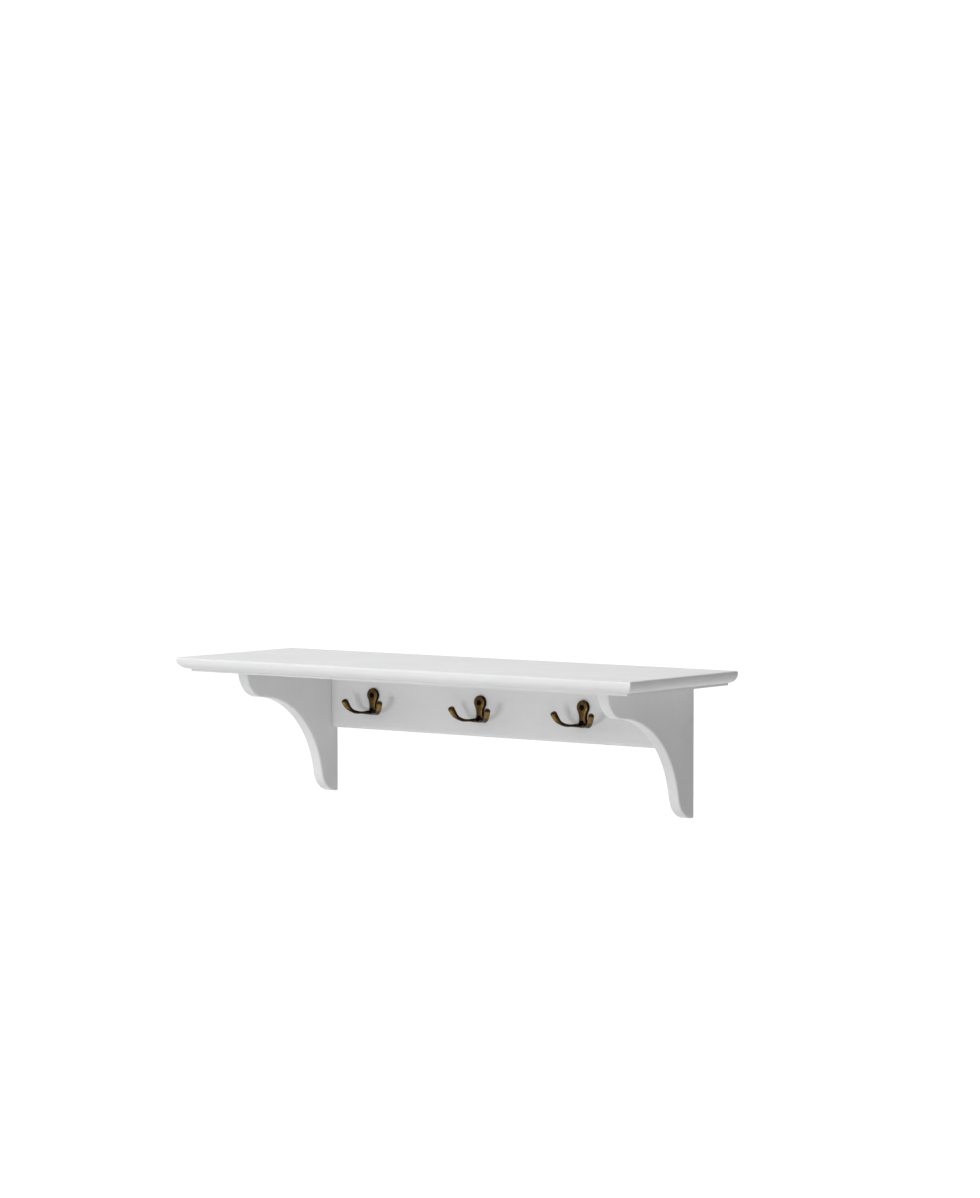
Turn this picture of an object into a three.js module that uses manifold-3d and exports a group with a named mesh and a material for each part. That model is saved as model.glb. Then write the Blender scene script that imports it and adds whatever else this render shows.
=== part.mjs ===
// Wall shelf with a hook rail: a moulded board on two curved brackets, and between the brackets a back
// rail that carries three double-armed coat hooks. Nothing on it moves: every joint is glued or screwed.
// Millimetres, +X to the right along the shelf, -Y out into the room, +Z up.
// The origin is the middle of the rail's back face, in the plane of the wall.
import * as THREE from "three";
import { mergeVertices } from "three/addons/utils/BufferGeometryUtils.js";
import Module from "manifold-3d";

// ---- Driving dimensions ----

const gap = 0.3; // clearance between pieces that touch

const board = {
  length: 700,
  depth: 225,
  thickness: 18,
  arris: 2.5, // radius where the top face turns into the moulding
  ovoloInset: 14, // how far the quarter-round moulding cuts back under the edge
  fillet: 3, // upright step below the moulding
};

const bracket = {
  thickness: 16,
  overhang: 64, // end of the board to the bracket's outer face
  reach: 180, // wall to the front of the nose
  drop: 164, // underside of the board to the bracket's foot
  noseRadius: 35,
  noseRise: 1, // the nose's centre is this far above the underside of the board
  sweepRadius: 124, // hollow curve between the nose and the foot
  footRadius: 31,
  footDepth: 32, // deepest part of the foot
  edgeRound: 2,
};

const rail = {
  thickness: 12,
  drop: 81, // underside of the board to the rail's lower edge
  edgeRound: 4.5, // lower front edge
};

const hook = {
  // Places along the rail, and how far each hook sits above or below its line: they are set by eye.
  places: {
    left: { x: -200, lift: 0 },
    middle: { x: -28, lift: -1.3 },
    right: { x: 131, lift: 0.3 },
  },
  upperScrewDrop: 36, // underside of the board to the upper screw
  screwSpacing: 19.5,
  plateThickness: 4,
  plateRound: 1.2,
  discRadius: 8.8,
  lobeRadius: 6, // round lower end of the plate
  neckRadius: 18, // hollow sides between the disc and the lower end
};

const arm = {
  angle: THREE.MathUtils.degToRad(51), // between the arm and a line straight out from the wall
  rootOffset: 1.2, // middle of the plate to where the centre line starts
  drop: 3, // lower screw down to the centre line
  run: 16, // level part of the centre line
  bendRadius: 19,
  bend: THREE.MathUtils.degToRad(62),
  tip: 8, // straight part after the bend
  rounding: 0.08, // share of the arm's length that its round end takes
  sides: 10,
  rings: 14,
  crowding: 1.6, // above 1, the rings lie closer together towards the tip
  // Half the width across the arm and half its thickness, at shares of its length.
  sections: [
    { share: 0, width: 3.8, thickness: 2.0 },
    { share: 0.3, width: 3.1, thickness: 1.5 },
    { share: 0.55, width: 3.1, thickness: 2.1 },
    { share: 0.82, width: 3.6, thickness: 3.9 },
    { share: 1, width: 3.7, thickness: 4.4 },
  ],
};

const hookScrew = { length: 13, shankRadius: 1.5, headRadius: 2.9, headDepth: 1.4, dome: 0.5 };
const hangerScrew = { length: 9, shankRadius: 1.5, headRadius: 2.9, headDepth: 1.4, dome: 0 };
const screwTip = 3;
const crossRecess = { length: 3.2, width: 0.8, depth: 1.1 };

const dowel = { shortEnd: 10, longEnd: 20, chamfer: 1 }; // lengths in the two pieces it joins
const bracketDowel = { radius: 4, depths: { rear: 40, front: 140 } }; // depths from the wall
const railDowel = { radius: 3, heights: { upper: 22, lower: -22 } }; // above the rail's middle
const topDowel = { radius: 3, places: { left: -115, middle: 50, right: 185 } }; // along the rail

const hanger = {
  places: { left: -240, right: 240 }, // along the rail
  height: 8, // its middle above the rail's middle
  width: 18,
  length: 48,
  thickness: 2,
  cornerRadius: 4,
  holeRadius: 5, // lets the head of the wall screw through
  holeDrop: 6, // below the plate's middle
  slotRadius: 2.5, // half the width of the slot that hangs on the wall screw
  slotRise: 7, // centre of the slot's round end above the plate's middle
  screwOffset: 18.5, // middle of the plate to each of its own screws
  pocketDepth: 5.5, // hollow for the wall screw's head behind the plate
  pocketMargin: 1, // the hollow is this much wider than the hole all round
};

const arcSteps = 8; // half the number of straight steps in each arc of a bracket's outline
const smallArcSteps = 5; // the same for the small outlines
const roundSteps = 2; // steps in a rounded edge
const roundSides = 12; // sides of a dowel, a screw or a drilled hole

// ---- Places that follow from them ----

const undersideZ = rail.drop / 2; // underside of the board
const topZ = undersideZ + board.thickness;
const railFrontY = -rail.thickness;
const bracketCentreX = board.length / 2 - bracket.overhang - bracket.thickness / 2;
const bracketInnerX = bracketCentreX - bracket.thickness / 2;
const railEndX = bracketInnerX - gap;
const upperScrewZ = undersideZ - hook.upperScrewDrop;

// ---- Materials ----

const whitePaint = new THREE.MeshStandardMaterial({ color: 0xe9eaea, roughness: 0.45, metalness: 0 });
const antiqueBrass = new THREE.MeshStandardMaterial({ color: 0x6b4e2a, roughness: 0.42, metalness: 0.9 });
const zincSteel = new THREE.MeshStandardMaterial({ color: 0xb4b8bc, roughness: 0.4, metalness: 0.9 });
const beech = new THREE.MeshStandardMaterial({ color: 0xcfa878, roughness: 0.7, metalness: 0 });

// ---- Solids ----

const manifold = await Module();
manifold.setup();

const xAxis = new THREE.Vector3(1, 0, 0);
const yAxis = new THREE.Vector3(0, 1, 0);
const zAxis = new THREE.Vector3(0, 0, 1);
const towardsRoom = yAxis.clone().negate();
const downwards = zAxis.clone().negate();

// A closed three.js geometry as a solid that can be cut and joined.
function solidOf(geometry) {
  const bare = geometry.clone();
  bare.deleteAttribute("normal");
  bare.deleteAttribute("uv");
  const merged = mergeVertices(bare, 1e-4);
  const mesh = new manifold.Mesh({
    numProp: 3,
    vertProperties: merged.attributes.position.array,
    triVerts: new Uint32Array(merged.index.array),
  });
  return new manifold.Manifold(mesh);
}

function geometryOf(solid) {
  const mesh = solid.getMesh();
  const geometry = new THREE.BufferGeometry();
  geometry.setAttribute("position", new THREE.BufferAttribute(mesh.vertProperties, 3));
  geometry.setIndex(new THREE.BufferAttribute(mesh.triVerts, 1));
  geometry.computeVertexNormals();
  return geometry;
}

function namedMesh(name, solid, material) {
  const mesh = new THREE.Mesh(geometryOf(solid), material);
  mesh.name = name;
  return mesh;
}

// A box between two corners.
function block(low, high) {
  const size = new THREE.Vector3().subVectors(high, low);
  const geometry = new THREE.BoxGeometry(size.x, size.y, size.z);
  const middle = new THREE.Vector3().addVectors(low, high).multiplyScalar(0.5);
  geometry.translate(middle.x, middle.y, middle.z);
  return solidOf(geometry);
}

// A round solid turned about a line through `base` along `direction`, from (radius, distance) pairs.
function turned(profile, base, direction) {
  const points = profile.map(([radius, distance]) => new THREE.Vector2(radius, distance));
  const geometry = new THREE.LatheGeometry(points, roundSides);
  geometry.applyQuaternion(new THREE.Quaternion().setFromUnitVectors(yAxis, direction));
  geometry.translate(base.x, base.y, base.z);
  return solidOf(geometry);
}

// A plain round bar or drilled hole.
function cylinder(radius, length, base, direction) {
  return turned([[0, 0], [radius, 0], [radius, length], [0, length]], base, direction);
}

// Turns a geometry drawn as (depth from the wall, height, thickness) so that depth runs along -Y, height
// along +Z and thickness along -X.
function standOnEdge(geometry) {
  const towardsLeft = xAxis.clone().negate();
  return geometry.applyMatrix4(new THREE.Matrix4().makeBasis(towardsRoom, zAxis, towardsLeft));
}

// Extrudes an outline drawn as (depth from the wall, height) along X, centred on x = 0. A round above 0
// rounds both of its long edges.
function extrudedAlongX(shape, length, round = 0) {
  const geometry = new THREE.ExtrudeGeometry(shape, {
    depth: length - 2 * round,
    curveSegments: arcSteps,
    bevelEnabled: round > 0,
    bevelThickness: round,
    bevelSize: round,
    bevelOffset: -round,
    bevelSegments: roundSteps,
  });
  geometry.translate(0, 0, round - length / 2);
  return solidOf(standOnEdge(geometry));
}

// The centre of a hollow curve of the given radius that runs smoothly into two round ends, on the side
// that lies to the left when looking from the first end to the second.
function hollowCentre(first, firstRadius, second, secondRadius, radius) {
  const toFirst = firstRadius + radius;
  const toSecond = secondRadius + radius;
  const between = first.distanceTo(second);
  const along = (toFirst ** 2 - toSecond ** 2 + between ** 2) / (2 * between);
  const aside = Math.sqrt(toFirst ** 2 - along ** 2);
  const direction = second.clone().sub(first).normalize();
  const left = new THREE.Vector2(-direction.y, direction.x);
  return first.clone().addScaledVector(direction, along).addScaledVector(left, aside);
}

const angleFrom = (from, to) => Math.atan2(to.y - from.y, to.x - from.x);

// ---- Board ----

// The moulded edge from the top face to the underside, as points (outwards from the edge, height).
function mouldedEdge() {
  const edge = new THREE.Path();
  edge.absarc(-board.arris, -board.arris, board.arris, Math.PI / 2, 0, true);
  const ovoloHeight = board.thickness - board.fillet - board.arris;
  edge.absellipse(-board.ovoloInset, -board.arris, board.ovoloInset, ovoloHeight, 0, -Math.PI / 2, true);
  edge.lineTo(-board.ovoloInset, -board.thickness);
  return edge.getPoints(smallArcSteps);
}

// The moulding runs along the front and both ends and meets in mitres at the corners, so the board is
// what the front-to-back section and the end-to-end section have in common.
function makeBoard() {
  const edge = mouldedEdge();
  const frontToBack = new THREE.Shape([
    new THREE.Vector2(0, 0),
    ...edge.map((point) => new THREE.Vector2(board.depth + point.x, point.y)),
    new THREE.Vector2(0, -board.thickness),
  ]);
  const endToEnd = new THREE.Shape([
    ...edge.map((point) => new THREE.Vector2(board.length / 2 + point.x, point.y)),
    ...edge.map((point) => new THREE.Vector2(-board.length / 2 - point.x, point.y)).reverse(),
  ]);
  const acrossTheLength = extrudedAlongX(frontToBack, board.length);
  const lengthwise = new THREE.ExtrudeGeometry(endToEnd, { depth: board.depth, bevelEnabled: false });
  lengthwise.rotateX(Math.PI / 2); // height to +Z, extrusion to -Y
  let solid = acrossTheLength.intersect(solidOf(lengthwise));
  for (const side of [-1, 1])
    for (const depth of Object.values(bracketDowel.depths)) {
      const mouth = new THREE.Vector3(side * bracketCentreX, -depth, -board.thickness);
      solid = solid.subtract(dowelHole(bracketDowel.radius, dowel.shortEnd, mouth, zAxis));
    }
  for (const x of Object.values(topDowel.places)) {
    const mouth = new THREE.Vector3(x, -rail.thickness / 2, -board.thickness);
    solid = solid.subtract(dowelHole(topDowel.radius, dowel.shortEnd, mouth, zAxis));
  }
  const mesh = namedMesh("shelf_board", solid, whitePaint);
  mesh.position.z = topZ;
  return mesh;
}

// ---- Dowels and their holes ----

// A hole drilled from its mouth along `into`, a little longer and wider than the dowel's end.
function dowelHole(radius, length, mouth, into) {
  const start = mouth.clone().addScaledVector(into, -gap);
  return cylinder(radius + gap, length + 2 * gap, start, into);
}

// A chamfered dowel whose short end lies along `into` from the joint and whose long end lies behind it.
function makeDowel(name, radius, joint, into) {
  const { shortEnd, longEnd, chamfer } = dowel;
  const profile = [
    [0, -longEnd],
    [radius - chamfer, -longEnd],
    [radius, chamfer - longEnd],
    [radius, shortEnd - chamfer],
    [radius - chamfer, shortEnd],
    [0, shortEnd],
  ];
  const mesh = namedMesh(name, turned(profile, new THREE.Vector3(), into), beech);
  mesh.position.copy(joint);
  return mesh;
}

// ---- Brackets ----

// The bracket's outline as (depth from the wall, height above the underside of the board). It carries on
// by `spare` behind the wall and above the board, where the rounded edge is cut off square.
function bracketOutline(spare) {
  const nose = new THREE.Vector2(bracket.reach - bracket.noseRadius, bracket.noseRise);
  const foot = new THREE.Vector2(bracket.footDepth - bracket.footRadius, bracket.footRadius - bracket.drop);
  const sweep = hollowCentre(nose, bracket.noseRadius, foot, bracket.footRadius, bracket.sweepRadius);
  const noseToSweep = angleFrom(nose, sweep);
  const sweepToFoot = angleFrom(sweep, foot);
  const outline = new THREE.Shape();
  outline.moveTo(-spare, spare);
  outline.lineTo(bracket.reach, spare);
  outline.absarc(nose.x, nose.y, bracket.noseRadius, 0, noseToSweep, true);
  outline.absarc(sweep.x, sweep.y, bracket.sweepRadius, noseToSweep + Math.PI, sweepToFoot, false);
  outline.absarc(foot.x, foot.y, bracket.footRadius, sweepToFoot - Math.PI, -Math.PI / 2, true);
  outline.lineTo(-spare, -bracket.drop);
  return outline;
}

function makeBracket(name, side) {
  const spare = 2 * bracket.edgeRound;
  const rounded = extrudedAlongX(bracketOutline(spare), bracket.thickness, bracket.edgeRound);
  const squareFaces = block(
    new THREE.Vector3(-bracket.thickness, -board.depth, -2 * bracket.drop),
    new THREE.Vector3(bracket.thickness, 0, -gap),
  );
  let solid = rounded.intersect(squareFaces);
  for (const depth of Object.values(bracketDowel.depths)) {
    const mouth = new THREE.Vector3(0, -depth, 0);
    solid = solid.subtract(dowelHole(bracketDowel.radius, dowel.longEnd, mouth, downwards));
  }
  for (const height of Object.values(railDowel.heights)) {
    const innerFaceX = (-side * bracket.thickness) / 2;
    const mouth = new THREE.Vector3(innerFaceX, -rail.thickness / 2, height - undersideZ);
    const into = xAxis.clone().multiplyScalar(side);
    solid = solid.subtract(dowelHole(railDowel.radius, dowel.shortEnd, mouth, into));
  }
  const mesh = namedMesh(name, solid, whitePaint);
  mesh.position.set(side * bracketCentreX, 0, undersideZ);
  return mesh;
}

// ---- Back rail ----

function railOutline() {
  const outline = new THREE.Shape();
  outline.moveTo(0, undersideZ - gap);
  outline.lineTo(rail.thickness, undersideZ - gap);
  const arcCentre = new THREE.Vector2(rail.thickness - rail.edgeRound, rail.edgeRound - rail.drop / 2);
  outline.absarc(arcCentre.x, arcCentre.y, rail.edgeRound, 0, -Math.PI / 2, true);
  outline.lineTo(0, -rail.drop / 2);
  return outline;
}

// A hanger plate's outline seen from the wall, wider by `margin` all round.
function hangerOutline(margin) {
  const x = hanger.width / 2 + margin;
  const y = hanger.length / 2 + margin;
  const radius = hanger.cornerRadius + margin;
  const outline = new THREE.Shape();
  outline.absarc(x - radius, y - radius, radius, Math.PI / 2, 0, true);
  outline.absarc(x - radius, radius - y, radius, 0, -Math.PI / 2, true);
  outline.absarc(radius - x, radius - y, radius, -Math.PI / 2, -Math.PI, true);
  outline.absarc(radius - x, y - radius, radius, Math.PI, Math.PI / 2, true);
  return outline;
}

// The shallow bed of the hanger plate at x, the hollow behind its keyhole and the holes for its screws.
function hangerBed(x) {
  const bedDepth = hanger.thickness + gap;
  const bed = new THREE.ExtrudeGeometry(hangerOutline(gap), {
    depth: bedDepth + gap,
    curveSegments: smallArcSteps,
    bevelEnabled: false,
  });
  bed.rotateX(Math.PI / 2); // outline upright, extrusion towards the room
  bed.translate(x, gap, hanger.height);
  const margin = hanger.holeRadius + hanger.pocketMargin;
  const hollow = block(
    new THREE.Vector3(x - margin, -bedDepth - hanger.pocketDepth, hanger.height - hanger.holeDrop - margin),
    new THREE.Vector3(x + margin, 0, hanger.height + hanger.slotRise + margin),
  );
  let solid = solidOf(bed).add(hollow);
  for (const offset of [-hanger.screwOffset, hanger.screwOffset]) {
    const mouth = new THREE.Vector3(x, 0, hanger.height + offset);
    const hole = cylinder(hangerScrew.shankRadius + gap, hangerScrew.length + gap, mouth, towardsRoom);
    solid = solid.add(hole);
  }
  return solid;
}

function makeRail() {
  let solid = extrudedAlongX(railOutline(), 2 * railEndX);
  for (const side of [-1, 1])
    for (const height of Object.values(railDowel.heights)) {
      const mouth = new THREE.Vector3(side * bracketInnerX, -rail.thickness / 2, height);
      const into = xAxis.clone().multiplyScalar(-side);
      solid = solid.subtract(dowelHole(railDowel.radius, dowel.longEnd, mouth, into));
    }
  for (const x of Object.values(topDowel.places)) {
    const mouth = new THREE.Vector3(x, -rail.thickness / 2, undersideZ);
    solid = solid.subtract(dowelHole(topDowel.radius, dowel.longEnd, mouth, downwards));
  }
  const screwDepth = hookScrew.length - hook.plateThickness;
  for (const { x, lift } of Object.values(hook.places))
    for (const z of [upperScrewZ + lift, upperScrewZ + lift - hook.screwSpacing]) {
      const mouth = new THREE.Vector3(x, railFrontY - gap, z);
      solid = solid.subtract(cylinder(hookScrew.shankRadius + gap, screwDepth + gap, mouth, yAxis));
    }
  for (const x of Object.values(hanger.places)) solid = solid.subtract(hangerBed(x));
  return namedMesh("back_rail", solid, whitePaint);
}

// ---- Screws ----

// A countersunk screw that points along `direction`, with the rim of its head level with its origin.
function makeScrew(name, screw, place, direction, material) {
  const { length, shankRadius, headRadius, headDepth, dome } = screw;
  const halfway = [headRadius / 2, -0.75 * dome]; // on the dome's parabola
  const crown = dome > 0 ? [[0, -dome], halfway] : [[0, 0]];
  const shank = [[shankRadius, headDepth], [shankRadius, length - screwTip], [0, length]];
  let solid = turned([...crown, [headRadius, 0], ...shank], new THREE.Vector3(), direction);
  const half = crossRecess.length / 2;
  const slim = crossRecess.width / 2;
  for (const [x, z] of [[half, slim], [slim, half]]) {
    const corner = new THREE.Vector3(x, crossRecess.depth, z);
    solid = solid.subtract(block(corner.clone().negate(), corner));
  }
  const mesh = namedMesh(name, solid, material);
  mesh.position.copy(place);
  return mesh;
}

// The hole that leaves a screw its clearance, countersunk for the head and open for `access` before it.
function screwHole(screw, access, mouth, direction) {
  const { length, shankRadius, headRadius, headDepth } = screw;
  const wide = headRadius + gap;
  const narrow = shankRadius + gap;
  const countersink = [[wide, -access], [wide, 0], [narrow, headDepth]];
  return turned([[0, -access], ...countersink, [narrow, length], [0, length]], mouth, direction);
}

// ---- Hooks ----

// Front view of a hook's plate, with the upper screw at the origin.
function plateOutline() {
  const disc = new THREE.Vector2(0, 0);
  const lobe = new THREE.Vector2(0, -hook.screwSpacing);
  const neck = hollowCentre(disc, hook.discRadius, lobe, hook.lobeRadius, hook.neckRadius);
  const discEnd = angleFrom(disc, neck);
  const neckEnd = angleFrom(neck, lobe);
  const outline = new THREE.Shape();
  outline.absarc(disc.x, disc.y, hook.discRadius, Math.PI - discEnd, discEnd, true);
  outline.absarc(neck.x, neck.y, hook.neckRadius, discEnd + Math.PI, neckEnd + 2 * Math.PI, false);
  outline.absarc(lobe.x, lobe.y, hook.lobeRadius, neckEnd + Math.PI, -neckEnd - 2 * Math.PI, true);
  outline.absarc(-neck.x, neck.y, hook.neckRadius, -neckEnd - Math.PI, -discEnd, false);
  return outline;
}

// The plate, with its front edge rounded and its back face flat at y = 0.
function plateSolid() {
  const round = hook.plateRound;
  const geometry = new THREE.ExtrudeGeometry(plateOutline(), {
    depth: hook.plateThickness,
    curveSegments: smallArcSteps,
    bevelThickness: round,
    bevelSize: round,
    bevelOffset: -round,
    bevelSegments: roundSteps,
  });
  geometry.rotateX(Math.PI / 2); // outline upright, thickness towards the room
  geometry.translate(0, round, 0);
  const reach = 2 * hook.screwSpacing;
  const squareBack = block(new THREE.Vector3(-reach, -reach, -reach), new THREE.Vector3(reach, 0, reach));
  return solidOf(geometry).intersect(squareBack);
}

// The arm's centre line in its own upright plane, as (distance out, height).
function armLine() {
  const line = new THREE.Path();
  line.moveTo(0, 0);
  line.lineTo(arm.run, 0);
  line.absarc(arm.run, arm.bendRadius, arm.bendRadius, -Math.PI / 2, arm.bend - Math.PI / 2, false);
  line.lineTo(
    line.currentPoint.x + arm.tip * Math.cos(arm.bend),
    line.currentPoint.y + arm.tip * Math.sin(arm.bend),
  );
  return line;
}

// Half width and half thickness of the arm at a share of its length, closing to a point at both ends.
function armSection(share) {
  const last = arm.sections.findIndex((section) => section.share >= share);
  const to = arm.sections[Math.max(last, 1)];
  const from = arm.sections[Math.max(last, 1) - 1];
  const blend = THREE.MathUtils.smoothstep(share, from.share, to.share);
  const intoEnd = Math.max(0, (share - 1 + arm.rounding) / arm.rounding);
  const closing = share > 0 ? Math.sqrt(1 - intoEnd ** 2) : 0;
  return {
    width: closing * THREE.MathUtils.lerp(from.width, to.width, blend),
    thickness: closing * THREE.MathUtils.lerp(from.thickness, to.thickness, blend),
  };
}

// An arm is a sphere whose rings are spread along the centre line.
function armSolid(side) {
  const line = armLine();
  const outwards = new THREE.Vector3(side * Math.sin(arm.angle), -Math.cos(arm.angle), 0);
  const across = new THREE.Vector3().crossVectors(outwards, zAxis);
  const rootZ = -hook.screwSpacing - arm.drop;
  const root = new THREE.Vector3(side * arm.rootOffset, -hook.plateThickness / 2, rootZ);
  const geometry = new THREE.SphereGeometry(1, arm.sides, arm.rings);
  const { position, uv } = geometry.attributes;
  for (let i = 0; i < position.count; i++) {
    const share = 1 - (1 - uv.getY(i)) ** arm.crowding;
    const turn = 2 * Math.PI * uv.getX(i);
    const middle = line.getPointAt(share);
    const tangent = line.getTangentAt(share);
    const section = armSection(share);
    const upwards = section.thickness * Math.sin(turn);
    const point = root.clone();
    point.addScaledVector(outwards, middle.x - upwards * tangent.y);
    point.addScaledVector(zAxis, middle.y + upwards * tangent.x);
    point.addScaledVector(across, -section.width * Math.cos(turn));
    position.setXYZ(i, point.x, point.y, point.z);
  }
  return solidOf(geometry);
}

function makeHook(name, { x, lift }) {
  let solid = plateSolid().add(armSolid(-1)).add(armSolid(1));
  const heights = { upper: 0, lower: -hook.screwSpacing };
  const group = new THREE.Group();
  group.position.set(x, railFrontY - gap, upperScrewZ + lift);
  for (const [place, height] of Object.entries(heights)) {
    const mouth = new THREE.Vector3(0, -hook.plateThickness, height);
    solid = solid.subtract(screwHole(hookScrew, hook.lobeRadius, mouth, yAxis));
    group.add(makeScrew(`${name}_screw_${place}`, hookScrew, mouth, yAxis, antiqueBrass));
  }
  group.add(namedMesh(name, solid, antiqueBrass));
  return group;
}

// ---- Hanger plates ----

// The plate's hole with its slot above it, as a closed path.
function keyhole() {
  const slotAngle = Math.acos(hanger.slotRadius / hanger.holeRadius);
  const path = new THREE.Path();
  path.absarc(0, hanger.slotRise, hanger.slotRadius, 0, Math.PI, false);
  path.absarc(0, -hanger.holeDrop, hanger.holeRadius, Math.PI - slotAngle, slotAngle, false);
  return path;
}

// The plate lies in its bed in the rail with its rear face in the plane of the wall.
function makeHanger(name, x) {
  const outline = hangerOutline(0);
  outline.holes.push(keyhole());
  const geometry = new THREE.ExtrudeGeometry(outline, {
    depth: hanger.thickness,
    curveSegments: smallArcSteps,
    bevelEnabled: false,
  });
  geometry.rotateX(Math.PI / 2); // outline upright, thickness towards the room
  let solid = solidOf(geometry);
  const group = new THREE.Group();
  group.position.set(x, 0, hanger.height);
  for (const [place, side] of [["lower", -1], ["upper", 1]]) {
    const mouth = new THREE.Vector3(0, -gap / 2, side * hanger.screwOffset);
    solid = solid.subtract(screwHole(hangerScrew, 1, mouth, towardsRoom));
    group.add(makeScrew(`${name}_screw_${place}`, hangerScrew, mouth, towardsRoom, zincSteel));
  }
  group.add(namedMesh(name, solid, zincSteel));
  return group;
}

// ---- The whole shelf ----

const shelf = new THREE.Group();
shelf.name = "wall_hook_rack";
shelf.add(makeBoard());
shelf.add(makeRail());

for (const [name, side] of [["left", -1], ["right", 1]]) {
  shelf.add(makeBracket(`${name}_bracket`, side));
  for (const [place, depth] of Object.entries(bracketDowel.depths)) {
    const joint = new THREE.Vector3(side * bracketCentreX, -depth, undersideZ);
    shelf.add(makeDowel(`${name}_bracket_dowel_${place}`, bracketDowel.radius, joint, zAxis));
  }
  for (const [place, height] of Object.entries(railDowel.heights)) {
    const joint = new THREE.Vector3(side * bracketInnerX, -rail.thickness / 2, height);
    const into = xAxis.clone().multiplyScalar(side);
    shelf.add(makeDowel(`${name}_rail_dowel_${place}`, railDowel.radius, joint, into));
  }
}

for (const [place, x] of Object.entries(topDowel.places)) {
  const joint = new THREE.Vector3(x, -rail.thickness / 2, undersideZ);
  shelf.add(makeDowel(`top_rail_dowel_${place}`, topDowel.radius, joint, zAxis));
}

for (const [side, place] of Object.entries(hook.places)) shelf.add(makeHook(`${side}_hook`, place));
for (const [place, x] of Object.entries(hanger.places)) shelf.add(makeHanger(`${place}_hanger_plate`, x));

export default shelf;
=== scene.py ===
"""Looks of the wall hook rack: a white painted shelf with three antique brass hooks.

Metres, in the frame of the CAD part: +X right along the shelf, -Y out into the room, +Z up, with the
origin in the middle of the rail's back face. Every piece takes its place and its size from the CAD nodes.
"""

import math

import bmesh
import bpy
from mathutils import Matrix, Vector


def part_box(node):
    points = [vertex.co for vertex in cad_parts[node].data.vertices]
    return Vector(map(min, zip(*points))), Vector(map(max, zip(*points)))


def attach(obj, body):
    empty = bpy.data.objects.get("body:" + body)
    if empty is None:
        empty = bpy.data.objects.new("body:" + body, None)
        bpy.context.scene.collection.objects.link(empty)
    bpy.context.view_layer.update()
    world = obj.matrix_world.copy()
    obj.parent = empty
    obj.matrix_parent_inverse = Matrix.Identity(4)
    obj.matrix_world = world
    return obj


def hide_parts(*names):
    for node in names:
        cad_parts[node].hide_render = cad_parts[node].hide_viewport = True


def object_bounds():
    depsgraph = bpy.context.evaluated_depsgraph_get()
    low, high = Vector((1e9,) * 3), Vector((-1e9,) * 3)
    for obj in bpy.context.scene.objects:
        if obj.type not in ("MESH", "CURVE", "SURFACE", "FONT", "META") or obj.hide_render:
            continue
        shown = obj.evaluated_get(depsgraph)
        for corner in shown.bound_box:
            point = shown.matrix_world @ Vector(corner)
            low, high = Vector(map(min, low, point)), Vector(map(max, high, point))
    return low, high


BODY = "root"
RUBBED_AND_PAINTED_LIGHT = "rubbed_and_painted_light"  # the mesh attribute that says how light a hook is drawn: rubbed patina mixed with painted highlights, and painted shade where it is low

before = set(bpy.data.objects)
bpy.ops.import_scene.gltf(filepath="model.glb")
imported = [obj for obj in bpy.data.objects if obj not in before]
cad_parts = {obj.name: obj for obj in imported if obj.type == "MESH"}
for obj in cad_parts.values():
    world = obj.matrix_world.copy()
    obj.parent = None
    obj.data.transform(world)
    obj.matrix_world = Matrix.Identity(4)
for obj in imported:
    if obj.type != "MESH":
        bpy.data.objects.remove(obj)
cad_low, cad_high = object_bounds()

# ---- Sizes that the CAD boxes don't give, in metres ----

GAP = 0.0003  # clearance between pieces that touch
SAME_PLACE = 0.000002  # points closer than this are merged
TURNED_SIDES = 40

BOARD_ARRIS = 0.0025
BOARD_OVOLO_INSET = 0.014
BOARD_FILLET = 0.003
BOARD_MITRE_RADIUS = 0.0012
BOARD_EASE = 0.0005

BRACKET_NOSE_RADIUS = 0.035
BRACKET_NOSE_RISE = 0.001
BRACKET_SWEEP_RADIUS = 0.124
BRACKET_FOOT_RADIUS = 0.031
BRACKET_FOOT_DEPTH = 0.032
BRACKET_EDGE_ROUND = 0.0024

RAIL_EDGE_ROUND = 0.0045
WOOD_EASE = 0.0004  # the small round on the sharp edges of the rail and the brackets

PLATE_DISC_RADIUS = 0.0088
PLATE_LOBE_RADIUS = 0.006
PLATE_NECK_RADIUS = 0.018
PLATE_THICKNESS = 0.004
PLATE_EDGE_ROUND = 0.0016
PLATE_CROWN = 0.0004  # how far the plate's face swells out
PLATE_CROWN_WIDTH = 0.003
PLATE_SPARE = 0.002  # added behind the plate while the casting is melted together, then cut off flat
SCREW_SPACING = 0.0195
COUNTERSINK_SPREAD = 0.0002  # how much a hook's countersink is wider than its screw's seat

ARM_ANGLE = math.radians(51)
ARM_ROOT = Vector((0.0012, -PLATE_THICKNESS / 2, -SCREW_SPACING - 0.003))
ARM_RUN = 0.016
ARM_BEND_RADIUS = 0.019
ARM_BEND = math.radians(62)
ARM_TIP = 0.008
ARM_ROUNDING = 0.1  # share of the arm's length over which its end closes
ARM_ROOTS = Vector((0, ARM_ROOT.y - 0.001, ARM_ROOT.z + 0.003))  # where the two arms and the plate meet
MELT_VOXEL = 0.00035
FINE_VOXEL = 0.00028

SCREW_SHANK_RADIUS = 0.0015
SCREW_HEAD_RADIUS = 0.0029
SCREW_HEAD_DEPTH = 0.0014
SCREW_RIM = 0.00012
SCREW_TIP = 0.003
SCREW_ANGLES = [2 * math.pi * i / 48 for i in range(48)]
THREAD_PITCH = 0.0011
THREAD_DEPTH = 0.0004
THREAD_START = 0.003
THREAD_FULL = 0.0045

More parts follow.
